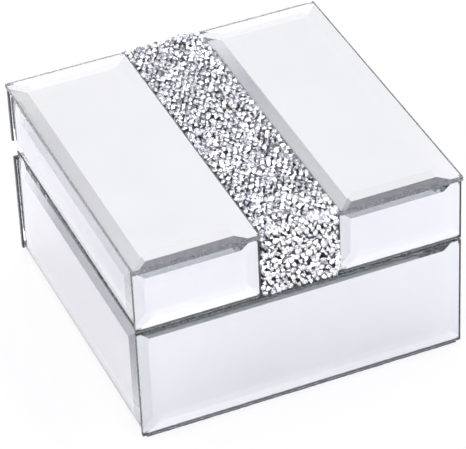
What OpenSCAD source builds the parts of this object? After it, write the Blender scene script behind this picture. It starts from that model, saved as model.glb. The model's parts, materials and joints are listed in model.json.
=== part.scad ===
// Hinged trinket box clad in bevelled mirror glass, with a crystal band over
// the lid and down its front.
// Frame: +Z up, X across the width, the front faces -Y. The origin is the
// centre of the underside.

/* [Box] */
// Overall width, left to right
box_w = 150; // [140:1:220]
// Overall depth, front to back
box_d = 152; // [140:1:220]
// Overall height, felt to top glass
box_h = 92; // [88:1:130]
// Height of the middle of the seam between base and lid
seam_z = 56.6; // [48:0.2:58]

/* [Mirror glass] */
// Thickness of the mirror glass
glass_t = 4; // [4:0.5:5]
// Width of the bevel on the two panes of the top
top_bevel_w = 8.4; // [4:0.2:10]
// How far the bevel of the top panes drops from the face to the edge
top_bevel_drop = 1.5; // [0.6:0.05:1.8]
// Width of the bevel on the upright panes
side_bevel_w = 7; // [4:0.2:8]
// How far the bevel of the upright panes drops from the face to the edge
side_bevel_drop = 1.5; // [0.6:0.05:1.8]
// Gap between the base glass and the lid glass at the seam
glass_seam = 1.2; // [0.8:0.1:1.6]
// Glue line between the top glass and the upright panels under it
glue_line = 0.4; // [0.2:0.1:0.8]

/* [Crystal band] */
// Width of the band of crystals
band_w = 36.4; // [20:0.2:60]
// Clearance between the band and the glass beside it
band_clear = 0.2; // [0.1:0.1:0.6]
// How far the bed of crystals lies below the glass face
band_sink = 0.6; // [0.2:0.1:1.5]

/* [Carcass] */
// Thickness of the fibreboard
board_t = 5; // [5:0.5:8]
// Gap between the base walls and the lid walls, filled by the hinge leaves
wall_seam = 1.6; // [1.6:0.1:2.4]
// Thickness of the felt under the base
felt_t = 1.2; // [0.6:0.1:2]
// Distance from the felt's edge to the face of the glass
felt_inset = 1.9; // [0:0.1:3]

/* [Lining] */
// Thickness of the velvet-covered card on the walls
liner_t = 1.5; // [1:0.1:3]
// Thickness of the velvet pads in the floor and in the lid
pad_t = 2.5; // [1.5:0.1:5]
// Distance from the rim of the walls to the edge of the card
liner_drop = 0.6; // [0:0.1:3]

/* [Hinges] */
// Distance from the middle of the box to each hinge
hinge_x = 45; // [25:1:48]
// Length of each hinge
hinge_len = 24; // [18:1:30]
// Outer radius of the knuckles
knuckle_r = 1.8; // [1.5:0.05:1.9]
// Radius of the hinge pin
pin_r = 0.9; // [0.6:0.05:1]
// Running clearance of the pin in the lid's knuckle
pin_clear = 0.05; // [0.03:0.01:0.1]
// Opening angle at which the heels of the leaves meet
open_max = 100; // [90:1:110]
// Height of the bare strip behind the seam, above and below it
recess_h = 4.6; // [4.5:0.1:6]

/* [Hidden] */
$fn = 48;

// Turn about Z that carries a panel from the front to each side of the box
FRONT = 0;
RIGHT = 90;
BACK = 180;
LEFT = -90;

// Half sizes of the carcass outside the walls and inside them
carcass_x = box_w / 2 - glass_t;
carcass_y = box_d / 2 - glass_t;
inside_x = carcass_x - board_t;
inside_y = carcass_y - board_t;

// Levels, from the table up
board_z = felt_t;
floor_z = board_z + board_t;
base_rim_z = seam_z - wall_seam / 2;
lid_rim_z = seam_z + wall_seam / 2;
top_glass_z = box_h - glass_t;
ceiling_z = top_glass_z - board_t;
base_glass_top = seam_z - glass_seam / 2;
lid_glass_bottom = seam_z + glass_seam / 2;
lid_glass_top = top_glass_z - glue_line;

// Crystal band
glass_x = band_w / 2;
band_t = glass_t - band_sink;

// Velvet-covered cards, from the pad below or above them to near the rim
base_liner_z0 = floor_z + pad_t;
base_liner_z1 = base_rim_z - liner_drop;
lid_liner_z0 = lid_rim_z + liner_drop;
lid_liner_z1 = ceiling_z - pad_t;

// Hinges: the pin lies in the middle of the glass thickness at the seam
pin_y = carcass_y + glass_t / 2;
leaf_gap = 0.1;
leaf_t = (wall_seam - leaf_gap) / 2;

// Heels: each stops short of the glass below it and of the back plane, and
// the sloping faces are a little apart when the lid is fully open
heel_clear = 0.7;
heel_back = 0.2;
stop_slack = 0.5;
heel_h = recess_h - heel_clear;
heel_y = glass_t / 2 - heel_back;
heel_angle = (open_max + stop_slack) / 2;

// Knuckles, as [centre, length] along the pin
knuckle_space = 0.3;
knuckle_end_gap = 0.2;
lid_knuckle_len = hinge_len / 2;
base_knuckle_len = (hinge_len - lid_knuckle_len) / 2 - knuckle_end_gap;
base_knuckle_x = (hinge_len - base_knuckle_len) / 2;
BASE_KNUCKLES = [for (side = [-1, 1]) [side * base_knuckle_x, base_knuckle_len]];
LID_KNUCKLES = [[0, lid_knuckle_len]];

// Countersunk screws, two through each leaf, with a cross recess
screw_inset = 4.5;
screw_x = hinge_len / 2 - screw_inset;
screw_r = 0.8;
screw_head_r = 1.5;
screw_head_h = 0.6;
screw_len = 7;
screw_tip = 1.4;
recess_len = 1.8;
recess_w = 0.35;
recess_depth = 0.4;

// Bumpers at the two front corners of the base's rim, just short of the lid
bumper_r = 1.8;
bumper_gap = 0.05;
bumper_h = wall_seam - bumper_gap;

eps = 0.01;

GLASS = [0.90, 0.92, 0.95];
BOARD = [0.72, 0.60, 0.45];
VELVET = [0.45, 0.45, 0.48];
FELT = [0.10, 0.11, 0.20];
METAL = [0.78, 0.78, 0.80];
CRYSTAL = [0.80, 0.80, 0.86];
SILICONE = [0.85, 0.87, 0.88];

// ---------------------------------------------------------------- glass

// Cross-section of a bevelled pane: its back on the X axis, its face above
module pane_section(w, bevel_w, bevel_drop) {
    polygon([
        [-w / 2, 0],
        [w / 2, 0],
        [w / 2, glass_t - bevel_drop],
        [w / 2 - bevel_w, glass_t],
        [-w / 2 + bevel_w, glass_t],
        [-w / 2, glass_t - bevel_drop]
    ]);
}

// A pane w wide and h high, upright on z = 0 with its back on the plane
// y = 0, facing -Y, bevelled along all four edges
module pane(w, h, bevel_w, bevel_drop) {
    intersection() {
        linear_extrude(h) mirror([0, 1]) pane_section(w, bevel_w, bevel_drop);
        translate([-w / 2, 0, h / 2])
            rotate([90, 0, 90])
            linear_extrude(w)
            rotate(90)
            pane_section(h, bevel_w, bevel_drop);
    }
}

// A pane on one side of the box, from height z0 to z1
module side_mirror(side, half, w, z0, z1) {
    color(GLASS)
        rotate([0, 0, side])
        translate([0, -half, z0])
        pane(w, z1 - z0, side_bevel_w, side_bevel_drop);
}

// A pane of the top, lying face up with its middle at x
module top_mirror(x, w) {
    color(GLASS)
        translate([x, -box_d / 2, top_glass_z])
        rotate([-90, 0, 0])
        pane(w, box_d, top_bevel_w, top_bevel_drop);
}

module base_front_mirror() {
    side_mirror(FRONT, carcass_y, box_w, felt_t, base_glass_top);
}

module base_back_mirror() {
    side_mirror(BACK, carcass_y, box_w, felt_t, seam_z - recess_h);
}

module base_left_mirror() {
    side_mirror(LEFT, carcass_x, 2 * carcass_y, felt_t, base_glass_top);
}

module base_right_mirror() {
    side_mirror(RIGHT, carcass_x, 2 * carcass_y, felt_t, base_glass_top);
}

module lid_back_mirror() {
    side_mirror(BACK, carcass_y, box_w, seam_z + recess_h, lid_glass_top);
}

module lid_left_mirror() {
    side_mirror(LEFT, carcass_x, 2 * carcass_y, lid_glass_bottom, lid_glass_top);
}

module lid_right_mirror() {
    side_mirror(RIGHT, carcass_x, 2 * carcass_y, lid_glass_bottom, lid_glass_top);
}

module lid_front_mirror(side) {
    w = box_w / 2 - glass_x;
    translate([side * (glass_x + w / 2), 0, 0])
        side_mirror(FRONT, carcass_y, w, lid_glass_bottom, lid_glass_top);
}

module top_side_mirror(side) {
    w = box_w / 2 - glass_x;
    top_mirror(side * (glass_x + w / 2), w);
}

// -------------------------------------------------------------- crystals

module crystal_band_top() {
    w = band_w - 2 * band_clear;
    color(CRYSTAL)
        translate([-w / 2, -carcass_y - band_t, top_glass_z])
        cube([w, carcass_y + band_t + box_d / 2, band_t]);
}

module crystal_band_front() {
    w = band_w - 2 * band_clear;
    color(CRYSTAL)
        translate([-w / 2, -carcass_y - band_t, lid_glass_bottom])
        cube([w, band_t, top_glass_z - lid_glass_bottom]);
}

// --------------------------------------------------------------- carcass

// A board standing on one side of the box, its outer face at half
module side_board(side, half, w, t, z0, z1) {
    rotate([0, 0, side])
        translate([-w / 2, -half, z0])
        cube([w, t, z1 - z0]);
}

module flat_board(half_x, half_y, t, z0) {
    translate([-half_x, -half_y, z0])
        cube([2 * half_x, 2 * half_y, t]);
}

module base_board() {
    color(BOARD) flat_board(carcass_x, carcass_y, board_t, board_z);
}

module lid_board() {
    color(BOARD) flat_board(carcass_x, carcass_y, board_t, ceiling_z);
}

// A wall at the front or the back, as wide as the carcass
module long_wall(side, z0, z1) {
    color(BOARD) side_board(side, carcass_y, 2 * carcass_x, board_t, z0, z1);
}

// A wall at the left or the right, between the two long walls
module short_wall(side, z0, z1) {
    color(BOARD) side_board(side, carcass_x, 2 * inside_y, board_t, z0, z1);
}

module base_back_wall() {
    difference() {
        long_wall(BACK, floor_z, base_rim_z);
        base_screw_places() screw_shape();
    }
}

module lid_back_wall() {
    difference() {
        long_wall(BACK, lid_rim_z, ceiling_z);
        lid_screw_places() screw_shape();
    }
}

module base_felt() {
    color(FELT) flat_board(box_w / 2 - felt_inset, box_d / 2 - felt_inset, felt_t, 0);
}

module rim_bumpers() {
    for (side = [-1, 1]) {
        color(SILICONE)
            translate([side * (inside_x + board_t / 2), -inside_y - board_t / 2, base_rim_z])
            cylinder(r = bumper_r, h = bumper_h);
    }
}

// ---------------------------------------------------------------- lining

module floor_pad() {
    color(VELVET) flat_board(inside_x, inside_y, pad_t, floor_z);
}

module lid_pad() {
    color(VELVET) flat_board(inside_x, inside_y, pad_t, ceiling_z - pad_t);
}

module long_liner(side, z0, z1) {
    color(VELVET) side_board(side, inside_y, 2 * inside_x, liner_t, z0, z1);
}

module short_liner(side, z0, z1) {
    color(VELVET) side_board(side, inside_x, 2 * (inside_y - liner_t), liner_t, z0, z1);
}

// ---------------------------------------------------------------- hinges

// Section of a leaf through its heel, in the pin's own axes: a plate over
// the wall and a heel behind it with a sloping stop face
module heel_section() {
    polygon([
        [0, 0],
        [heel_y, -heel_y * tan(heel_angle)],
        [heel_y, -heel_h],
        [-glass_t / 2, -heel_h],
        [-glass_t / 2, -leaf_gap / 2]
    ]);
}

// Section of the plate that lies on the rim of the wall
module plate_section() {
    translate([-glass_t / 2 - board_t, -leaf_gap / 2 - leaf_t])
        square([board_t, leaf_t]);
}

// Extrudes a section in the pin's axes along X, over a length centred on x
module along_pin(len, x = 0) {
    translate([x - len / 2, 0, 0])
        rotate([90, 0, 90])
        linear_extrude(len)
        children();
}

// A leaf below the seam, its pin on the X axis; knuckles lists the centre
// and the length of each of its knuckles, gaps those of the other leaf
module leaf(knuckles, gaps, bore_r) {
    color(METAL)
    difference() {
        union() {
            difference() {
                along_pin(hinge_len) {
                    heel_section();
                    plate_section();
                }
                for (g = gaps) {
                    along_pin(g[1] + 2 * knuckle_end_gap, g[0]) circle(knuckle_r + knuckle_space);
                }
            }
            for (k = knuckles) {
                along_pin(k[1], k[0]) circle(knuckle_r);
            }
        }
        along_pin(hinge_len + 2 * eps) circle(bore_r);
        for (side = [-1, 1]) {
            translate([side * screw_x, -glass_t / 2 - board_t / 2, -leaf_gap / 2]) screw_shape();
        }
    }
}

module base_leaf(side) {
    translate([side * hinge_x, pin_y, seam_z])
        leaf(BASE_KNUCKLES, LID_KNUCKLES, pin_r);
}

module lid_leaf(side) {
    translate([side * hinge_x, pin_y, seam_z])
        mirror([0, 0, 1])
        leaf(LID_KNUCKLES, BASE_KNUCKLES, pin_r + pin_clear);
}

module hinge_pin(side) {
    color(METAL)
        translate([side * hinge_x, pin_y, seam_z])
        along_pin(hinge_len) circle(pin_r);
}

// A countersunk screw pointing down, the face of its head at z = 0
module screw_shape() {
    rotate_extrude()
        polygon([
            [0, 0],
            [screw_head_r, 0],
            [screw_r, -screw_head_h],
            [screw_r, -screw_len + screw_tip],
            [0, -screw_len]
        ]);
}

module screw() {
    color(METAL)
    difference() {
        screw_shape();
        for (turn = [0, 90]) {
            rotate([0, 0, turn])
                translate([-recess_len / 2, -recess_w / 2, -recess_depth])
                cube([recess_len, recess_w, recess_depth + eps]);
        }
    }
}

module screw_places(z) {
    for (hinge = [-1, 1], side = [-1, 1]) {
        translate([hinge * hinge_x + side * screw_x, carcass_y - board_t / 2, z]) children();
    }
}

module base_screw_places() {
    screw_places(seam_z - leaf_gap / 2) children();
}

module lid_screw_places() {
    screw_places(seam_z + leaf_gap / 2) mirror([0, 0, 1]) children();
}

module base_hinge_screws() {
    base_screw_places() screw();
}

module lid_hinge_screws() {
    lid_screw_places() screw();
}

// ----------------------------------------------------------------- nodes

base_board();
long_wall(FRONT, floor_z, base_rim_z);  // base_front_wall
base_back_wall();
short_wall(LEFT, floor_z, base_rim_z);  // base_left_wall
short_wall(RIGHT, floor_z, base_rim_z);  // base_right_wall
base_front_mirror();
base_back_mirror();
base_left_mirror();
base_right_mirror();
base_felt();
floor_pad();
long_liner(FRONT, base_liner_z0, base_liner_z1);  // base_front_liner
long_liner(BACK, base_liner_z0, base_liner_z1);  // base_back_liner
short_liner(LEFT, base_liner_z0, base_liner_z1);  // base_left_liner
short_liner(RIGHT, base_liner_z0, base_liner_z1);  // base_right_liner
base_leaf(-1);  // hinge_left_base_leaf
base_leaf(1);  // hinge_right_base_leaf
hinge_pin(-1);  // hinge_left_pin
hinge_pin(1);  // hinge_right_pin
base_hinge_screws();
rim_bumpers();
lid_board();
long_wall(FRONT, lid_rim_z, ceiling_z);  // lid_front_wall
lid_back_wall();
short_wall(LEFT, lid_rim_z, ceiling_z);  // lid_left_wall
short_wall(RIGHT, lid_rim_z, ceiling_z);  // lid_right_wall
top_side_mirror(-1);  // top_left_mirror
top_side_mirror(1);  // top_right_mirror
lid_front_mirror(-1);  // lid_front_left_mirror
lid_front_mirror(1);  // lid_front_right_mirror
lid_back_mirror();
lid_left_mirror();
lid_right_mirror();
crystal_band_top();
crystal_band_front();
lid_pad();
long_liner(FRONT, lid_liner_z0, lid_liner_z1);  // lid_front_liner
long_liner(BACK, lid_liner_z0, lid_liner_z1);  // lid_back_liner
short_liner(LEFT, lid_liner_z0, lid_liner_z1);  // lid_left_liner
short_liner(RIGHT, lid_liner_z0, lid_liner_z1);  // lid_right_liner
lid_leaf(-1);  // hinge_left_lid_leaf
lid_leaf(1);  // hinge_right_lid_leaf
lid_hinge_screws();
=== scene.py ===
"""Looks of a hinged trinket box clad in bevelled mirror glass, with a band of
crystals over its lid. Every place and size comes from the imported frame."""

import json
import math
import random

import bpy
import numpy as np
from mathutils import Matrix, Vector, noise


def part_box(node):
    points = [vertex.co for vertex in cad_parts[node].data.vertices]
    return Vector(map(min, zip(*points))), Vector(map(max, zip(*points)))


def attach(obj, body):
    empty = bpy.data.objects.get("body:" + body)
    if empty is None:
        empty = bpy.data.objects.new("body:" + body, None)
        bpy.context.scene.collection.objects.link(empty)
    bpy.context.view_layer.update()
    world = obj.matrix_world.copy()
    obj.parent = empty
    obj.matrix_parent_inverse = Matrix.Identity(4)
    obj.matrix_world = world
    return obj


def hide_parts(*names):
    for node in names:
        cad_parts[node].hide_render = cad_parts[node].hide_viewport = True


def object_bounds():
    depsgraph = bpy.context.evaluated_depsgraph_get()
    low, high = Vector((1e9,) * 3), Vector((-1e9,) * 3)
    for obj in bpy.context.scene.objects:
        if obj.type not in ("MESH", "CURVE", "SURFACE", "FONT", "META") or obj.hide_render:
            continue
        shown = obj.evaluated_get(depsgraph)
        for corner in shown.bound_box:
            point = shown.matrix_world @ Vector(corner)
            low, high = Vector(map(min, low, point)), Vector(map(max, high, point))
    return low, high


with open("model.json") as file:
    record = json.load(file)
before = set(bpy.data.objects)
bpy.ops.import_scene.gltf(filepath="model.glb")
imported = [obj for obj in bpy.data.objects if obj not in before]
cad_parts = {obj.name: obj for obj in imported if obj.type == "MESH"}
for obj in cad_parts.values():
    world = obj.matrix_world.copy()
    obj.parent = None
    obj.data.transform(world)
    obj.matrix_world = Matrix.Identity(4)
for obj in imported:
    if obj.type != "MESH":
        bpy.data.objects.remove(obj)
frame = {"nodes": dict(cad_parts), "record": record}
cad_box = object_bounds()
nodes = frame["nodes"]
bodies = frame["record"]["behaviour"]["bodies"]
body_of = {name: body for body, names in bodies.items() for name in names}

MM = 0.001
TINY = 1e-5

# Glass
ARRIS = 0.16 * MM  # chamfer that takes the sharpness off a ground edge
FILM = 0.03 * MM  # glue behind a pane and in the joint beside it
# Partly painted shade: the front and back panes' backing strip is this wide so that it also stands
# in for the shadow in the corner joints
BACKING_AND_SHADE = 0.7 * MM  # strip of dark backing paint along the back edge of the front and back panes
THIN_BACKING = 0.25 * MM  # the same on the top and side panes
RIDGE = 0.18 * MM  # half the width of the softened line where the bevel meets the face

# Stones: pointed-back chatons, sizes as a share of the girdle radius
STONE_SIDES = 6
TABLE_SHARE = 0.56
CROWN_SHARE = 0.36
GIRDLE_SHARE = 0.06
PAVILION_SHARE = 0.92
STONE_RADIUS = (1.3 * MM, 1.75 * MM)
STONE_EDGE = 0.95 * MM  # nearest that the middle of a stone comes to the edge of the band
STONE_TILT = 24  # degrees, how much the stones that lie face up lean
STONE_LEAN = (65, 130)  # degrees, how far over the others lie
STONE_SCATTER = 0.3 * MM  # how much the stones of one layer differ in depth
FRONT_PAINTED_LIGHT_DULLEST = 0.7  # painted light: the front stones are kept to the bright shades
# Layers of stones: depth, pitch, jitter, and the share of stones that lie face up
STONE_LAYERS = ((1.0 * MM, 2.75 * MM, 1.2 * MM, 0.33), (2.9 * MM, 3.8 * MM, 1.5 * MM, 0.3))
BAND_CORNER = 1.3 * MM  # radius of the band where it turns down the front
PUSH_ROUNDS = 40
PUSH_REACH = 0.92  # share of the two radii at which stones stop pushing each other
PUSH_STEP = 0.35  # share of an overlap taken away in one round
BED_DEPTH = 3.1 * MM  # from the tops of the stones down to the resin they lie in
BED_CELL = 1.2 * MM
BED_LUMP = 0.35 * MM
BED_LUMP_SCALE = 600

# Padding
CARD_CELL = 3 * MM
CARD_RIM = 0.6 * MM  # radius of the rolled rim of a covered card
CARD_EDGE = 0.25  # height of the rim's outer edge, as a share of the card's thickness
CARD_WAVES = 40  # scale of the faint waves in a card's face
LINER_CROWN = 0.2 * MM
FOAM_RISE = 0.9 * MM  # how far the middle of a pad stands above its rim
SWELL_SCALE = 20.0  # the cover is simulated this much larger, because cloth this small is unstable
SWELL_FRAMES = 20
SWELL_PRESSURE = 4.0
SWELL_SHRINK = -0.015  # below 0 the cloth grows, which gives the cover its slack

# Felt and bumpers
FELT_STEPS = 90  # points along one side
FELT_FRAY = 0.25 * MM  # most that the cut edge strays inward
DOME_SIDES = 40
DOME_STEPS = 10
DOME_TOP = 0.35  # radius of the flat on top of a bumper, as a share of its own

# Edges of the CAD pieces that are softened in the render
BOARD_EDGE = 0.25 * MM
NICKEL_EDGE = 0.06 * MM
STEEL_EDGE = 0.04 * MM
SOFTENED_ANGLE = 40  # degrees, and sharper

# Floor, in metres
FLOOR_HALF = 6.0  # half its width
# Painted light and shade on the floor, seen in the mirror panes: one tint in front of the box, and
# on the left one that is darker far out and brighter close to the box
FLOOR_FRONT_PAINTED_LIGHT = (0.625, 0.61, 0.645)
FLOOR_LEFT_FAR_PAINTED_SHADE = (0.54, 0.535, 0.56)
FLOOR_LEFT_CLOSE_PAINTED_LIGHT = (0.725, 0.715, 0.735)
FLOOR_LEFT_SPAN = (-0.108, -0.078)  # X where the left side goes from its far tone to its close one
FLOOR_CORNER_SPAN = (-0.01, 0.02)  # width of the change from front to left, across the diagonal
FLOOR_WHITE = 1.02
FLOOR_WHITE_SHARE = 0.8  # how much of the plain white the camera sees

# Sky
COOL = (1.0, 1.0, 1.035)
NEUTRAL = (1.0, 1.0, 1.0)
SKY_BRIGHTEST = 5.5
# Sine of the height above the horizon, how bright the sky is there, and its tint
SKY_STOPS = (
    (0.0, 0.60, NEUTRAL),
    (0.22, 0.89, NEUTRAL),
    (0.34, 0.78, NEUTRAL),
    (0.45, 0.97, COOL),
    (0.67, 0.975, COOL),
    (0.75, 1.35, COOL),
    (0.92, 2.0, COOL),
)
SIDE_BOX_WAY = (-0.71, -0.71, 0)
SIDE_BOX_EDGE = (0.3, 0.6)  # from no light to full light, as the cosine to its direction
SIDE_BOX_LIGHT = 2.7
OVERHEAD_WAY = (0.30, -0.24, 0.92)
OVERHEAD_EDGE = (17, 11)  # the same, in degrees
CAMERA_SIDE_EDGE = (28, 19)
CAMERA_SIDE_COLOR = (0.1, 0.1, 0.105, 1)

# Camera, turned and placed about the middle of the box
CAM_AZIMUTH = -21.74
CAM_ELEVATION = 36.78
CAM_ROLL = -2.68
CAM_DISTANCE = 1388 * MM
CAM_LENS = 243.2
CAM_SENSOR = 36.0
CAM_AIM = Vector((-0.1, -0.6, -6.8)) * MM  # from the middle of the box
CAM_CLIP = (0.05, 50)

BOUNCES = 32  # light that is caught inside a pane bounces many times before it leaves


# ------------------------------------------------------------ materials

def material(name, **inputs):
    """A new material and its Principled shader, its constant inputs set on their own sockets."""
    mat = bpy.data.materials.new(name)
    mat.use_nodes = True
    shader = mat.node_tree.nodes["Principled BSDF"]
    for key, value in inputs.items():
        shader.inputs[key.replace("_", " ")].default_value = value
    return mat, shader


def node(mat, kind, **settings):
    """A node of that kind. A setting that names a property of the node sets that, and any
    other sets the input of that name."""
    made = mat.node_tree.nodes.new("ShaderNode" + kind)
    for key, value in settings.items():
        if hasattr(made, key):
            setattr(made, key, value)
        else:
            made.inputs[key.replace("_", " ")].default_value = value
    return made


def link(mat, source, target):
    mat.node_tree.links.new(source, target)


def place(mat, stretch=(1, 1, 1)):
    """Object coordinates in metres, stretched along the axes."""
    coords = node(mat, "TexCoord")
    mapping = node(mat, "Mapping", Scale=stretch)
    link(mat, coords.outputs["Object"], mapping.inputs["Vector"])
    return mapping.outputs[0]


def noise_at(mat, where, scale, detail=3.0, roughness=0.55):
    texture = node(mat, "TexNoise", Scale=scale, Detail=detail, Roughness=roughness)
    link(mat, where, texture.inputs["Vector"])
    return texture.outputs[0]


def spread(mat, value, low, high, start=0.3, end=0.7):
    """Maps start..end to low..high, by default the middle range of a noise."""
    remap = node(mat, "MapRange", From_Min=start, From_Max=end, To_Min=low, To_Max=high)
    link(mat, value, remap.inputs["Value"])
    return remap.outputs[0]


def two_tone(mat, value, dark, light, start=0.3, end=0.7):
    ramp = node(mat, "ValToRGB")
    ramp.color_ramp.elements[0].position = start
    ramp.color_ramp.elements[0].color = (*dark, 1)
    ramp.color_ramp.elements[1].position = end
    ramp.color_ramp.elements[1].color = (*light, 1)
    link(mat, value, ramp.inputs[0])
    return ramp.outputs[0]


def bump(mat, shader, height, depth, strength=1.0):
    """Bump of that depth in metres, over whatever bump the shader has already."""
    made = node(mat, "Bump", Strength=strength, Distance=depth)
    link(mat, height, made.inputs["Height"])
    if shader.inputs["Normal"].links:
        link(mat, shader.inputs["Normal"].links[0].from_socket, made.inputs["Normal"])
    link(mat, made.outputs[0], shader.inputs["Normal"])


def make_glass(name, haze):
    """Polished float glass: faint waves from the float line and a breath of haze."""
    mat, shader = material(name, Transmission_Weight=1.0, IOR=1.52, Roughness=haze)
    where = place(mat)
    tint = two_tone(mat, noise_at(mat, where, 30), (0.98, 0.984, 0.981), (0.988, 0.991, 0.989))
    link(mat, tint, shader.inputs["Base Color"])
    bump(mat, shader, noise_at(mat, place(mat, (1, 0.4, 1)), 45, 1.0), 0.02 * MM, 0.5)
    return mat


def make_ground(name, dark, light):
    """Ground edge: frosted, slightly green, with the wheel's fine marks."""
    mat, shader = material(name, Transmission_Weight=0.92, IOR=1.52)
    where = place(mat)
    fine = noise_at(mat, place(mat, (1, 1, 3)), 2200, 4.0, 0.65)
    tint = two_tone(mat, noise_at(mat, where, 260), dark, light)
    link(mat, tint, shader.inputs["Base Color"])
    link(mat, spread(mat, noise_at(mat, where, 500), 0.18, 0.34), shader.inputs["Roughness"])
    bump(mat, shader, fine, 0.015 * MM, 0.6)
    return mat


def make_silver(name, dark, light):
    """Silvering seen through the glass, a little deeper in tone in places."""
    mat, shader = material(name, Metallic=1.0, Roughness=0.0)
    where = place(mat)
    tint = two_tone(mat, noise_at(mat, where, 24), dark, light)
    link(mat, tint, shader.inputs["Base Color"])
    return mat


def make_backing():
    """Grey-black paint over the silvering, seen where it meets a joint. Its wide strip on the
    front and back panes is partly painted shade for the joint.
    """
    mat, shader = material("mirror_backing")
    where = place(mat)
    tint = two_tone(mat, noise_at(mat, where, 1200), (0.018, 0.02, 0.022), (0.05, 0.052, 0.055))
    link(mat, tint, shader.inputs["Base Color"])
    link(mat, spread(mat, noise_at(mat, where, 800), 0.45, 0.7), shader.inputs["Roughness"])
    return mat


def make_stone_glass():
    mat, shader = material("stone_glass", Transmission_Weight=1.0, IOR=1.56, Roughness=0.0)
    shade = node(mat, "Attribute", attribute_name="shade")
    tint = two_tone(mat, shade.outputs["Fac"], (0.93, 0.93, 0.97), (1.0, 1.0, 1.0), 0.0, 1.0)
    link(mat, tint, shader.inputs["Base Color"])
    return mat


def make_stone_foil():
    """Silver foil on the pointed back of each stone, some brighter than others at random, and
    the front ones brighter still as painted light.
    """
    mat, shader = material("stone_foil", Metallic=1.0)
    shade = node(mat, "Attribute", attribute_name="shade")
    tint = two_tone(mat, shade.outputs["Fac"], (0.68, 0.68, 0.71), (0.99, 0.99, 1.0), 0.0, 1.0)
    link(mat, tint, shader.inputs["Base Color"])
    link(mat, spread(mat, noise_at(mat, place(mat), 900), 0.08, 0.2), shader.inputs["Roughness"])
    return mat


def make_glue_and_shade():
    """Glossy bed of resin that the stones lie in, its near-black tone partly painted shade for the
    deep gaps between the stones.
    """
    mat, shader = material("stone_bed_and_shade")
    where = place(mat)
    tint = two_tone(mat, noise_at(mat, where, 900), (0.006, 0.006, 0.009), (0.035, 0.035, 0.045))
    link(mat, tint, shader.inputs["Base Color"])
    link(mat, spread(mat, noise_at(mat, where, 1300), 0.2, 0.5), shader.inputs["Roughness"])
    bump(mat, shader, noise_at(mat, where, 1500), 0.2 * MM, 0.8)
    return mat


def make_board():
    """Fibreboard wrapped in satin silver-grey paper with a fine laid grain."""
    mat, shader = material("wrapped_board", Coat_Weight=0.08, Coat_Roughness=0.35)
    where = place(mat)
    grain = noise_at(mat, place(mat, (1, 1, 14)), 300, 4.0, 0.6)
    tint = two_tone(mat, noise_at(mat, where, 90, 5.0), (0.36, 0.36, 0.375), (0.45, 0.45, 0.465))
    link(mat, tint, shader.inputs["Base Color"])
    link(mat, spread(mat, grain, 0.42, 0.62), shader.inputs["Roughness"])
    bump(mat, shader, grain, 0.03 * MM, 0.6)
    bump(mat, shader, noise_at(mat, where, 2500), 0.02 * MM, 0.5)
    return mat


def make_velvet():
    """Short-pile grey velvet: a soft nap brushed one way and another, and the pile itself."""
    mat, shader = material(
        "velvet", Sheen_Weight=0.9, Sheen_Roughness=0.35, Sheen_Tint=(0.85, 0.85, 0.9, 1)
    )
    where = place(mat)
    nap = noise_at(mat, place(mat, (1, 2.2, 1)), 75, 4.0, 0.55)
    pile = noise_at(mat, where, 3200, 2.0, 0.7)
    both = node(mat, "Math", operation="MULTIPLY")
    link(mat, spread(mat, nap, 0.88, 1.06), both.inputs[0])
    link(mat, spread(mat, pile, 0.7, 1.2), both.inputs[1])
    tint = two_tone(mat, both.outputs[0], (0.085, 0.085, 0.095), (0.20, 0.20, 0.215), 0.55, 1.25)
    link(mat, tint, shader.inputs["Base Color"])
    link(mat, spread(mat, nap, 0.75, 0.95), shader.inputs["Roughness"])
    bump(mat, shader, pile, 0.12 * MM, 0.7)
    return mat


def make_felt():
    """Dark navy pressed felt with short loose fibres."""
    mat, shader = material("felt", Sheen_Weight=0.5, Sheen_Roughness=0.5)
    where = place(mat)
    fibres = noise_at(mat, place(mat, (1, 5, 1)), 900, 4.0, 0.7)
    across = noise_at(mat, place(mat, (5, 1, 1)), 900, 4.0, 0.7)
    tint = two_tone(mat, fibres, (0.035, 0.04, 0.09), (0.085, 0.095, 0.19))
    link(mat, tint, shader.inputs["Base Color"])
    link(mat, spread(mat, noise_at(mat, where, 400), 0.85, 0.98), shader.inputs["Roughness"])
    bump(mat, shader, fibres, 0.12 * MM, 0.8)
    bump(mat, shader, across, 0.12 * MM, 0.8)
    return mat


def make_metal(name, low, high, brushed):
    """Bright nickel plate, polished or brushed along X, with a little tarnish."""
    mat, shader = material(name, Metallic=1.0)
    where = place(mat)
    lines = noise_at(mat, place(mat, (1, 30, 30)), 160, 3.0, 0.6)
    stain = noise_at(mat, where, 220, 5.0, 0.65)
    tint = two_tone(mat, stain, (0.60, 0.585, 0.56), (0.77, 0.765, 0.76), 0.25, 0.6)
    link(mat, tint, shader.inputs["Base Color"])
    link(mat, spread(mat, stain, high, low), shader.inputs["Roughness"])
    bump(mat, shader, lines, brushed, 0.5)
    return mat


def make_silicone():
    mat, shader = material("silicone", Transmission_Weight=0.75, IOR=1.41)
    where = place(mat)
    tint = two_tone(mat, noise_at(mat, where, 700), (0.80, 0.82, 0.83), (0.90, 0.92, 0.93))
    link(mat, tint, shader.inputs["Base Color"])
    link(mat, spread(mat, noise_at(mat, where, 1500), 0.2, 0.38), shader.inputs["Roughness"])
    bump(mat, shader, noise_at(mat, where, 2600), 0.01 * MM, 0.5)
    return mat


GLASS = make_glass("glass_polished", 0.03)
TOP_GLASS = make_glass("glass_polished_top", 0.07)
# Painted light and shade: the one ground edge comes in two tones, lighter on the top panes than on
# the upright ones
GROUND = make_ground("glass_ground", (0.20, 0.23, 0.22), (0.38, 0.42, 0.41))
TOP_GROUND_PAINTED_LIGHT = make_ground("glass_ground_top", (0.34, 0.37, 0.36), (0.56, 0.60, 0.59))
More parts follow.
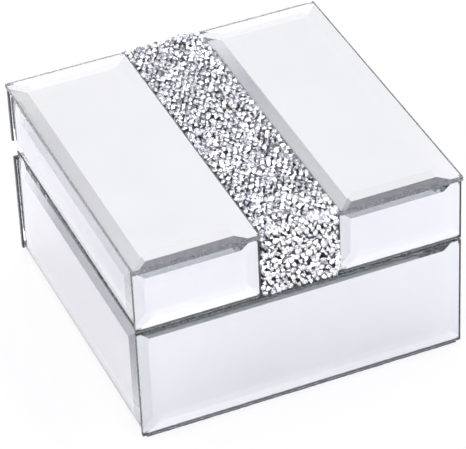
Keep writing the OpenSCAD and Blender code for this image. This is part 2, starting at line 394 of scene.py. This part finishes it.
# Painted light and shade: the one silvering comes in three tones, darker on the front and back
# panes and lighter on the side and top panes
FRONT_BACK_SILVER_SHADED = make_silver("silvering", (0.79, 0.807, 0.81), (0.812, 0.829, 0.832))
SIDE_SILVER = make_silver("silvering_sides", (0.908, 0.908, 0.915), (0.93, 0.93, 0.937))
TOP_SILVER = make_silver("silvering_top", (0.912, 0.912, 0.922), (0.934, 0.934, 0.944))
BACK_PAINT = make_backing()
STONE_GLASS = make_stone_glass()
STONE_FOIL = make_stone_foil()
GLUE_AND_SHADE = make_glue_and_shade()
BOARD = make_board()
VELVET = make_velvet()
FELT = make_felt()
NICKEL = make_metal("nickel", 0.10, 0.26, 0.015 * MM)
STEEL = make_metal("plated_steel", 0.14, 0.32, 0.008 * MM)
SILICONE = make_silicone()


# --------------------------------------------------------------- helpers

def new_piece(name, points, faces, materials, indices=None, smooth=False):
    mesh = bpy.data.meshes.new(name)
    mesh.from_pydata([tuple(p) for p in points], [], faces)
    for mat in materials:
        mesh.materials.append(mat)
    if indices is not None:
        mesh.polygons.foreach_set("material_index", indices)
    mesh.polygons.foreach_set("use_smooth", [smooth] * len(mesh.polygons))
    mesh.validate()
    piece = bpy.data.objects.new(name, mesh)
    bpy.context.scene.collection.objects.link(piece)
    return piece


def stand_in(piece, name):
    """The piece replaces that CAD node, which it hides, and rides on its body."""
    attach(piece, body_of[name])
    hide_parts(name)


def local_frame(name):
    """Middle of a flat node, its axes (across, up, out) as columns, and its width, height and
    thickness. Out is the side that faces away from the middle of the box."""
    low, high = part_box(name)
    size, middle = high - low, (high + low) / 2
    thin = min(range(3), key=lambda i: size[i])
    out = Vector([0, 0, 0])
    out[thin] = math.copysign(1, (middle - (cad_box[0] + cad_box[1]) / 2)[thin])
    up = Vector((0, 1, 0)) if thin == 2 else Vector((0, 0, 1))
    across = up.cross(out)
    axes = Matrix((across, up, out)).transposed()
    extent = [abs(v) for v in axes.transposed() @ size]
    return middle, axes, extent


# ----------------------------------------------------------------- panes

def bevel_of(name, middle, axes, extent):
    """Width and drop of the CAD pane's bevel, from its own corners."""
    width, _, thick = extent
    local = [axes.transposed() @ (v.co - middle) for v in nodes[name].data.vertices]
    face_x = max(abs(p.x) for p in local if p.z > thick / 2 - TINY)
    edge_z = max(p.z for p in local if abs(p.x) > width / 2 - TINY)
    return width / 2 - face_x, thick / 2 - edge_z


def make_pane(name):
    """A bevelled pane with its silvering, ground edges and a fine arris along each edge."""
    middle, axes, extent = local_frame(name)
    width, height, thick = extent
    bevel, drop = bevel_of(name, middle, axes, extent)
    edge = thick - drop
    slope = drop / bevel
    if name.startswith("top_"):
        glass, ground, silver, margin = TOP_GLASS, TOP_GROUND_PAINTED_LIGHT, TOP_SILVER, THIN_BACKING
    elif "_front_" in name or "_back_" in name:
        glass, ground, silver, margin = GLASS, GROUND, FRONT_BACK_SILVER_SHADED, BACKING_AND_SHADE
    else:
        glass, ground, silver, margin = GLASS, GROUND, SIDE_SILVER, THIN_BACKING
    profile = [
        (margin, FILM),
        (FILM, margin),
        (FILM, edge - ARRIS),
        (ARRIS, edge + ARRIS * slope),
        (bevel - RIDGE, thick - RIDGE * slope),
        (bevel + RIDGE, thick),
    ]
    band_materials = [BACK_PAINT, ground, ground, glass, glass]
    points = []
    for inset, level in profile:
        x, y, z = width / 2 - inset, height / 2 - inset, level - thick / 2
        points += [(-x, -y, z), (x, -y, z), (x, y, z), (-x, y, z)]
    faces, indices = [(3, 2, 1, 0)], [2]
    palette = [glass, ground, silver, BACK_PAINT]
    for ring, mat in enumerate(band_materials):
        low, high = 4 * ring, 4 * (ring + 1)
        for i in range(4):
            j = (i + 1) % 4
            faces.append((low + i, low + j, high + j, high + i))
            indices.append(palette.index(mat))
    top = 4 * (len(profile) - 1)
    faces.append((top, top + 1, top + 2, top + 3))
    indices.append(0)
    placed = [middle + axes @ Vector(p) for p in points]
    piece = new_piece(name + "_pane", placed, faces, palette, indices)
    stand_in(piece, name)


for mirror in sorted(n for n in nodes if n.endswith("_mirror")):
    make_pane(mirror)


# -------------------------------------------------------------- crystals

def stone_rings():
    """Points and faces of one chaton of girdle radius 1, table up, its girdle at z = 0. The
    third list has 1 for each foiled face and 0 for the others."""
    sides = range(STONE_SIDES)
    turn = 2 * math.pi / STONE_SIDES
    points = []
    for radius, z, shift in (
        (TABLE_SHARE, CROWN_SHARE, 0.5),
        (1.0, GIRDLE_SHARE / 2, 0.0),
        (1.0, -GIRDLE_SHARE / 2, 0.0),
    ):
        for i in sides:
            angle = (i + shift) * turn
            points.append((radius * math.cos(angle), radius * math.sin(angle), z))
    points.append((0, 0, -PAVILION_SHARE))
    table, girdle, lower, culet = 0, STONE_SIDES, 2 * STONE_SIDES, 3 * STONE_SIDES
    faces, foiled = [tuple(sides)], [0]
    for i in sides:
        j = (i + 1) % STONE_SIDES
        faces.append((girdle + i, girdle + j, table + i))
        faces.append((girdle + j, table + j, table + i))
        faces.append((lower + i, lower + j, girdle + j, girdle + i))
        faces.append((culet, lower + j, lower + i))
        foiled += [0, 0, 0, 1]
    return points, faces, foiled


STONE_POINTS, STONE_FACES, STONE_FOILED = stone_rings()


class Band:
    """The crystal band's outer surface as a strip: along runs from the rear edge over the top,
    round the front edge and down the front."""

    def __init__(self, top, front):
        self.top_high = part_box(top)[1]
        self.front_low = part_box(front)[0]
        self.half_width = self.top_high.x
        self.corner = BAND_CORNER
        self.on_top = self.top_high.y - (self.front_low.y + self.corner)
        self.round = self.corner * math.pi / 2
        self.down = (self.top_high.z - self.corner) - self.front_low.z
        self.length = self.on_top + self.round + self.down

    def at(self, along):
        """Point on the surface's middle line and its normal."""
        if along < self.on_top:
            return Vector((0, self.top_high.y - along, self.top_high.z)), Vector((0, 0, 1))
        centre = Vector((0, self.front_low.y + self.corner, self.top_high.z - self.corner))
        angle = min((along - self.on_top) / self.corner, math.pi / 2)
        normal = Vector((0, -math.sin(angle), math.cos(angle)))
        point = centre + normal * self.corner
        point.z -= max(0.0, along - self.on_top - self.round)
        return point, normal


band = Band("crystal_band_top", "crystal_band_front")


def tilted(normal, share_up, rng):
    """A random turn for a stone: some lie face up and a little tilted, the rest on their sides."""
    spin = Matrix.Rotation(rng.uniform(0, 2 * math.pi), 3, "Z")
    if rng.random() < share_up:
        lean = math.radians(abs(rng.gauss(0, STONE_TILT)))
    else:
        lean = math.radians(rng.uniform(*STONE_LEAN))
    way = rng.uniform(0, 2 * math.pi)
    lean_about = Matrix.Rotation(lean, 3, Vector((math.cos(way), math.sin(way), 0)))
    upright = Vector((0, 0, 1)).rotation_difference(normal).to_matrix()
    return upright @ lean_about @ spin


def push_apart(places, radii, low, high):
    """Moves overlapping stones apart until most of them only touch, inside the strip's edges."""
    reach = (radii[:, None] + radii[None, :]) * PUSH_REACH
    for _ in range(PUSH_ROUNDS):
        gap = places[:, None, :] - places[None, :, :]
        far = np.sqrt((gap ** 2).sum(2))
        np.fill_diagonal(far, 1.0)
        overlap = np.clip(reach - far, 0, None)
        places = places + PUSH_STEP * (gap / far[:, :, None] * overlap[:, :, None]).sum(1)
        places = np.clip(places, low, high)
    return places


def lay_stones(rng):
    """Stones over the whole strip, as (middle, turn, radius, on_front)."""
    stones = []
    side = band.half_width - STONE_EDGE
    reach = band.length - 2 * STONE_EDGE
    front_start = band.on_top + band.round / 2
    for depth, pitch, jitter, share_up in STONE_LAYERS:
        rows = round(reach / (pitch * math.sqrt(3) / 2))
        columns = round(2 * side / pitch)
        places, radii = [], []
        for row in range(rows + 1):
            for column in range(columns + 1 - row % 2):
                across = ((column + 0.5 * (row % 2)) / columns * 2 - 1) * side
                along = STONE_EDGE + row / rows * reach
                places.append((
                    across + rng.uniform(-jitter, jitter),
                    along + rng.uniform(-jitter, jitter),
                ))
                radii.append(rng.uniform(*STONE_RADIUS))
        low, high = (-side, STONE_EDGE), (side, band.length - STONE_EDGE)
        places = push_apart(np.array(places), np.array(radii), low, high)
        for (across, along), radius in zip(places, radii):
            surface, normal = band.at(along)
            sunk = depth + rng.uniform(-STONE_SCATTER, STONE_SCATTER)
            middle = surface - normal * sunk + Vector((across, 0, 0))
            stones.append((middle, tilted(normal, share_up, rng), radius, along > front_start))
    return stones


def make_stones(name, stones, rng, dullest=0.0):
    """One piece of many stones. Each has its own shade, from dullest to 1, which its foil and
    its glass read. A dullest above 0, as on the front, lifts the shades as painted light."""
    points, faces, indices, shades = [], [], [], []
    for middle, turn, radius, _ in stones:
        first = len(points)
        points += [middle + turn @ (Vector(p) * radius) for p in STONE_POINTS]
        faces += [tuple(first + i for i in face) for face in STONE_FACES]
        indices += STONE_FOILED
        shades += [dullest + (1 - dullest) * rng.random()] * len(STONE_FACES)
    piece = new_piece(name, points, faces, [STONE_GLASS, STONE_FOIL], indices)
    shade = piece.data.attributes.new("shade", "FLOAT", "FACE")
    shade.data.foreach_set("value", shades)
    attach(piece, "lid")


def make_bed(name, node_name, depth, short=0.0):
    """The lumpy bed under the stones: the node's solid with its outer face lowered by depth,
    and its lower end cut short."""
    middle, axes, extent = local_frame(node_name)
    width, height, thick = extent
    across, up = int(width / BED_CELL), int(height / BED_CELL)
    points, faces = [], []
    for j in range(up + 1):
        for i in range(across + 1):
            x = (i / across - 0.5) * width
            y = j / up * (height - short) + short - height / 2
            lump = noise.noise(Vector((x, y, 0)) * BED_LUMP_SCALE)
            points.append((x, y, thick / 2 - depth + lump * BED_LUMP))
    for j in range(up):
        for i in range(across):
            a = j * (across + 1) + i
            faces.append((a, a + 1, a + across + 2, a + across + 1))
    rim = list(range(across + 1))
    rim += [j * (across + 1) + across for j in range(1, up + 1)]
    rim += [up * (across + 1) + i for i in range(across - 1, -1, -1)]
    rim += [j * (across + 1) for j in range(up - 1, 0, -1)]
    first = len(points)
    points += [(points[r][0], points[r][1], -thick / 2) for r in rim]
    for k in range(len(rim)):
        m = (k + 1) % len(rim)
        faces.append((first + k, first + m, rim[m], rim[k]))
    faces.append(tuple(first + k for k in reversed(range(len(rim)))))
    placed = [middle + axes @ Vector(p) for p in points]
    piece = new_piece(name, placed, faces, [GLUE_AND_SHADE], smooth=True)
    stand_in(piece, node_name)


stone_rng = random.Random(11)
all_stones = lay_stones(stone_rng)
make_stones("crystals_on_top", [s for s in all_stones if not s[3]], stone_rng)
# Painted light: the front stones are given brighter shades than those on top
make_stones("crystals_in_front", [s for s in all_stones if s[3]], stone_rng, FRONT_PAINTED_LIGHT_DULLEST)
make_bed("crystal_bed_top", "crystal_band_top", BED_DEPTH, short=BED_DEPTH)
make_bed("crystal_bed_front", "crystal_band_front", BED_DEPTH)


# ---------------------------------------------------------------- lining

def make_card(name, crown, swollen=True):
    """A card covered in velvet: rounded rim, flat back against the wall, and a face that
    stands proud by the crown if it is swollen and leaves room for it if not."""
    middle, axes, extent = local_frame(name)
    width, height, thick = extent
    across, up = max(8, int(width / CARD_CELL)), max(6, int(height / CARD_CELL))
    points, faces = [], []
    own_waves = middle.x * 90 + middle.y * 50

    def level(x, y):
        """Distance of the face from the wall: its rim rolls over, and its middle stands proud."""
        from_edge = min(width / 2 - abs(x), height / 2 - abs(y))
        roll = math.sqrt(max(0.0, 1 - max(0.0, 1 - from_edge / CARD_RIM) ** 2))
        swell = (1 - (2 * x / width) ** 4) * (1 - (2 * y / height) ** 4)
        wave = noise.noise(Vector((x * CARD_WAVES, y * CARD_WAVES, own_waves)))
        body = (thick - crown) * (CARD_EDGE + (1 - CARD_EDGE) * roll)
        return body + crown * swollen * swell * (0.8 + 0.35 * wave)

    def grid_line(size, count):
        """Places along one side, closer together at the rim."""
        inner = [(k / count - 0.5) * (size - 2 * CARD_RIM) for k in range(count + 1)]
        edge = [size / 2 - CARD_RIM * share for share in (0, 0.12, 0.45)]
        return [-e for e in edge] + inner + list(reversed(edge))

    xs, ys = grid_line(width, across), grid_line(height, up)
    for y in ys:
        for x in xs:
            points.append((x, y, thick / 2 - level(x, y)))
    row = len(xs)
    for j in range(len(ys) - 1):
        for i in range(row - 1):
            a = j * row + i
            faces.append((a + row, a + row + 1, a + 1, a))
    rim_points = list(range(row))
    rim_points += [j * row + row - 1 for j in range(1, len(ys))]
    rim_points += [(len(ys) - 1) * row + i for i in range(row - 2, -1, -1)]
    rim_points += [j * row for j in range(len(ys) - 2, 0, -1)]
    first = len(points)
    points += [(points[r][0], points[r][1], thick / 2) for r in rim_points]
    count = len(rim_points)
    for k in range(count):
        m = (k + 1) % count
        faces.append((rim_points[k], rim_points[m], first + m, first + k))
    faces.append(tuple(first + k for k in range(count)))
    placed = [middle + axes @ Vector(p) for p in points]
    piece = new_piece(name + "_card", placed, faces, [VELVET], smooth=True)
    stand_in(piece, name)
    return piece


def swell(piece, name):
    """Foam under the velvet: the cover is simulated as cloth, held along its rim and blown up
    from behind, and its bulge brought to the foam's real height."""
    middle, axes, _ = local_frame(name)
    inward = -axes.col[2]
    flat = [v.co.copy() for v in piece.data.vertices]
    mesh = piece.data.copy()
    for vertex, place_now in zip(mesh.vertices, flat):
        vertex.co = (place_now - middle) * SWELL_SCALE
    cover = bpy.data.objects.new("cover", mesh)
    bpy.context.scene.collection.objects.link(cover)
    face_level = max((p - middle).dot(inward) for p in flat)
    held = [i for i, p in enumerate(flat) if (p - middle).dot(inward) < face_level - TINY]
    cover.vertex_groups.new(name="held").add(held, 1.0, "REPLACE")
    cloth = cover.modifiers.new("cloth", "CLOTH")
    cloth.settings.vertex_group_mass = "held"
    cloth.settings.use_pressure = True
    cloth.settings.uniform_pressure_force = SWELL_PRESSURE
    cloth.settings.shrink_min = SWELL_SHRINK
    cloth.settings.effector_weights.gravity = 0.0
    cloth.point_cache.frame_start = 1
    cloth.point_cache.frame_end = SWELL_FRAMES
    scene = bpy.context.scene
    for step in range(1, SWELL_FRAMES + 1):
        scene.frame_set(step)
    swollen = cover.evaluated_get(bpy.context.evaluated_depsgraph_get()).data
    rise = [(v.co / SWELL_SCALE + middle - p).dot(inward) for v, p in zip(swollen.vertices, flat)]
    share = FOAM_RISE / max(rise)
    for vertex, place_now, up in zip(piece.data.vertices, flat, rise):
        vertex.co = place_now + inward * max(0.0, up * share)
    bpy.data.objects.remove(cover)
    bpy.data.meshes.remove(mesh)
    scene.frame_set(1)


for liner in sorted(n for n in nodes if n.endswith("_liner")):
    make_card(liner, LINER_CROWN)
for pad in ("floor_pad", "lid_pad"):
    piece = make_card(pad, FOAM_RISE, swollen=False)
    swell(piece, pad)


def make_felt_sheet():
    """The felt glued under the base, its cut edge a little uneven."""
    low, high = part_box("base_felt")
    size = high - low
    rng = random.Random(5)
    outline = []
    for side in range(4):
        for k in range(FELT_STEPS):
            share = k / FELT_STEPS - 0.5
            x, y = [(share, -0.5), (0.5, share), (-share, 0.5), (-0.5, -share)][side]
            pull = 1 - rng.uniform(0, FELT_FRAY) / (size.x / 2)
            outline.append((x * size.x * pull, y * size.y * pull))
    middle = (low + high) / 2
    total = len(outline)
    points = [(middle.x + x, middle.y + y, low.z) for x, y in outline]
    points += [(middle.x + x, middle.y + y, high.z) for x, y in outline]
    faces = [(k, (k + 1) % total, total + (k + 1) % total, total + k) for k in range(total)]
    faces.append(tuple(reversed(range(total))))
    faces.append(tuple(range(total, 2 * total)))
    piece = new_piece("felt_base", points, faces, [FELT])
    stand_in(piece, "base_felt")


make_felt_sheet()


# -------------------------------------------------- bumpers and hardware

def make_bumpers():
    """Two soft domes at the front corners of the base's rim."""
    low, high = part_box("rim_bumpers")
    radius, height = (high.y - low.y) / 2, high.z - low.z
    y = (low.y + high.y) / 2
    points, faces = [], []
    for x in (low.x + radius, high.x - radius):
        first = len(points)
        for step in range(DOME_STEPS + 1):
            rise = step / DOME_STEPS * math.pi / 2
            reach = radius * (DOME_TOP + (1 - DOME_TOP) * math.cos(rise))
            z = low.z + height * math.sin(rise)
            for k in range(DOME_SIDES):
                angle = 2 * math.pi * k / DOME_SIDES
                points.append((x + reach * math.cos(angle), y + reach * math.sin(angle), z))
        for step in range(DOME_STEPS):
            ring = first + step * DOME_SIDES
            for k in range(DOME_SIDES):
                m = (k + 1) % DOME_SIDES
                faces.append((ring + k, ring + m, ring + DOME_SIDES + m, ring + DOME_SIDES + k))
        last = first + DOME_STEPS * DOME_SIDES
        faces.append(tuple(first + k for k in reversed(range(DOME_SIDES))))
        faces.append(tuple(last + k for k in range(DOME_SIDES)))
    piece = new_piece("rim_bumper_domes", points, faces, [SILICONE], smooth=True)
    stand_in(piece, "rim_bumpers")


make_bumpers()


def finish_node(name, mat, edge):
    """Gives a CAD node its material and softens its edges in the render only."""
    for slot in nodes[name].material_slots:
        slot.material = mat
    soften = nodes[name].modifiers.new("softened_edges", "BEVEL")
    soften.width = edge
    soften.segments = 2
    soften.limit_method = "ANGLE"
    soften.angle_limit = math.radians(SOFTENED_ANGLE)


for name in nodes:
    if name.endswith(("_wall", "_board")):
        finish_node(name, BOARD, BOARD_EDGE)
    elif name.endswith(("_leaf", "_pin")):
        finish_node(name, NICKEL, NICKEL_EDGE)
    elif name.endswith("_screws"):
        finish_node(name, STEEL, STEEL_EDGE)


# ----------------------------------------------------------------- stage

def make_floor():
    corners = [
        (x * FLOOR_HALF, y * FLOOR_HALF, cad_box[0].z)
        for x, y in ((-1, -1), (1, -1), (1, 1), (-1, 1))
    ]
    mat, shader = material(
        "pale_floor", Roughness=0.6, Coat_Weight=1.0, Coat_Roughness=0.12, Coat_IOR=1.8,
        Emission_Color=(0.97, 0.97, 1.05, 1), Emission_Strength=0.08,
    )
    # Painted light and shade: behind the box's left front corner the floor's tint is darker far
    # out and brighter close to the box
    where = place(mat)
    split = node(mat, "SeparateXYZ")
    link(mat, where, split.inputs[0])
    close = spread(mat, split.outputs["X"], 0.0, 1.0, *FLOOR_LEFT_SPAN)
    left_painted_light = two_tone(mat, close, FLOOR_LEFT_FAR_PAINTED_SHADE, FLOOR_LEFT_CLOSE_PAINTED_LIGHT, 0.0, 1.0)
    behind = node(mat, "VectorMath", operation="DOT_PRODUCT")
    behind.inputs[1].default_value = (-0.71, 0.71, 0)
    link(mat, where, behind.inputs[0])
    left_share = spread(mat, behind.outputs["Value"], 0.0, 1.0, *FLOOR_CORNER_SPAN)
    tint = node(mat, "MixRGB", Color1=(*FLOOR_FRONT_PAINTED_LIGHT, 1))
    link(mat, left_share, tint.inputs["Fac"])
    link(mat, left_painted_light, tint.inputs["Color2"])
    link(mat, tint.outputs[0], shader.inputs["Base Color"])
    # Seen directly the floor is nearly plain white, with a faint shadow under the box
    white = node(mat, "Emission", Color=(1, 1, 1, 1), Strength=FLOOR_WHITE)
    seen = node(mat, "LightPath")
    share = node(mat, "Math", operation="MULTIPLY")
    share.inputs[1].default_value = FLOOR_WHITE_SHARE
    mixed = node(mat, "MixShader")
    link(mat, seen.outputs["Is Camera Ray"], share.inputs[0])
    link(mat, share.outputs[0], mixed.inputs[0])
    link(mat, shader.outputs[0], mixed.inputs[1])
    link(mat, white.outputs[0], mixed.inputs[2])
    link(mat, mixed.outputs[0], mat.node_tree.nodes["Material Output"].inputs["Surface"])
    floor = new_piece("floor", corners, [(0, 1, 2, 3)], [mat])


def make_sky():
    """Soft studio light: dim at the horizon, bright above, with a soft box at the left front
    and one overhead, a dark side round the camera, and plain white where seen directly."""
    world = bpy.data.worlds.new("studio")
    bpy.context.scene.world = world
    world.use_nodes = True
    tree = world.node_tree
    background = tree.nodes["Background"]

    def add(kind, **settings):
        made = tree.nodes.new("ShaderNode" + kind)
        for key, value in settings.items():
            setattr(made, key, value)
        return made

    def remap(value, start, end):
        """0 at start and below, 1 at end and beyond."""
        made = add("MapRange")
        made.inputs["From Min"].default_value = start
        made.inputs["From Max"].default_value = end
        tree.links.new(value, made.inputs["Value"])
        return made.outputs[0]

    def blend(share, under, over):
        made = add("MixRGB")
        tree.links.new(share, made.inputs[0])
        tree.links.new(under, made.inputs[1])
        made.inputs[2].default_value = over
        return made.outputs[0]

    def toward(way):
        """Cosine of the angle between the direction seen and that way."""
        made = add("VectorMath", operation="DOT_PRODUCT")
        made.inputs[1].default_value = way
        tree.links.new(coords.outputs["Generated"], made.inputs[0])
        return made.outputs["Value"]

    def within(way, degrees):
        """0 beyond the first angle from that way, 1 within the second."""
        return remap(toward(way), *(math.cos(math.radians(d)) for d in degrees))

    def light(value, tint):
        """Colour of that brightness, as a share of the brightest."""
        return (*(c * value / SKY_BRIGHTEST for c in tint), 1)

    coords = add("TexCoord")
    split = add("SeparateXYZ")
    ramp = add("ValToRGB")
    tree.links.new(coords.outputs["Generated"], split.inputs[0])
    tree.links.new(split.outputs["Z"], ramp.inputs[0])
    elements = ramp.color_ramp.elements
    while len(elements) < len(SKY_STOPS):
        elements.new(0.5)
    for element, (position, value, tint) in zip(elements, SKY_STOPS):
        element.position = position
        element.color = light(value, tint)
    at_side = remap(toward(SIDE_BOX_WAY), *SIDE_BOX_EDGE)
    lit = blend(at_side, ramp.outputs[0], light(SIDE_BOX_LIGHT, COOL))
    lit = blend(within(camera_way(), CAMERA_SIDE_EDGE), lit, CAMERA_SIDE_COLOR)
    lit = blend(within(OVERHEAD_WAY, OVERHEAD_EDGE), lit, light(SKY_BRIGHTEST, NEUTRAL))
    tree.links.new(lit, background.inputs[0])
    background.inputs[1].default_value = SKY_BRIGHTEST
    plain = add("Background")
    plain.inputs[0].default_value = (1, 1, 1, 1)
    path = add("LightPath")
    mix = add("MixShader")
    tree.links.new(path.outputs["Is Camera Ray"], mix.inputs[0])
    tree.links.new(background.outputs[0], mix.inputs[1])
    tree.links.new(plain.outputs[0], mix.inputs[2])
    tree.links.new(mix.outputs[0], tree.nodes["World Output"].inputs[0])


def camera_way():
    """Direction from the box to the camera."""
    azimuth, elevation = math.radians(CAM_AZIMUTH), math.radians(CAM_ELEVATION)
    return Vector((
        math.sin(azimuth) * math.cos(elevation),
        -math.cos(azimuth) * math.cos(elevation),
        math.sin(elevation),
    ))


def make_camera():
    back, roll = camera_way(), math.radians(CAM_ROLL)
    side = (-back).cross(Vector((0, 0, 1))).normalized()
    over = side.cross(-back)
    across = math.cos(roll) * side + math.sin(roll) * over
    up = -math.sin(roll) * side + math.cos(roll) * over
    data = bpy.data.cameras.new("camera")
    data.sensor_width = CAM_SENSOR
    data.lens = CAM_LENS
    data.clip_start, data.clip_end = CAM_CLIP
    camera = bpy.data.objects.new("camera", data)
    bpy.context.scene.collection.objects.link(camera)
    turn = Matrix((across, up, back)).transposed().to_4x4()
    at = (cad_box[0] + cad_box[1]) / 2 + CAM_AIM + back * CAM_DISTANCE
    camera.matrix_world = Matrix.Translation(at) @ turn
    bpy.context.scene.camera = camera


make_floor()
make_sky()
make_camera()

bpy.context.scene.view_settings.view_transform = "Standard"
cycles = bpy.context.scene.cycles
cycles.max_bounces = BOUNCES
cycles.transmission_bounces = BOUNCES
cycles.glossy_bounces = BOUNCES
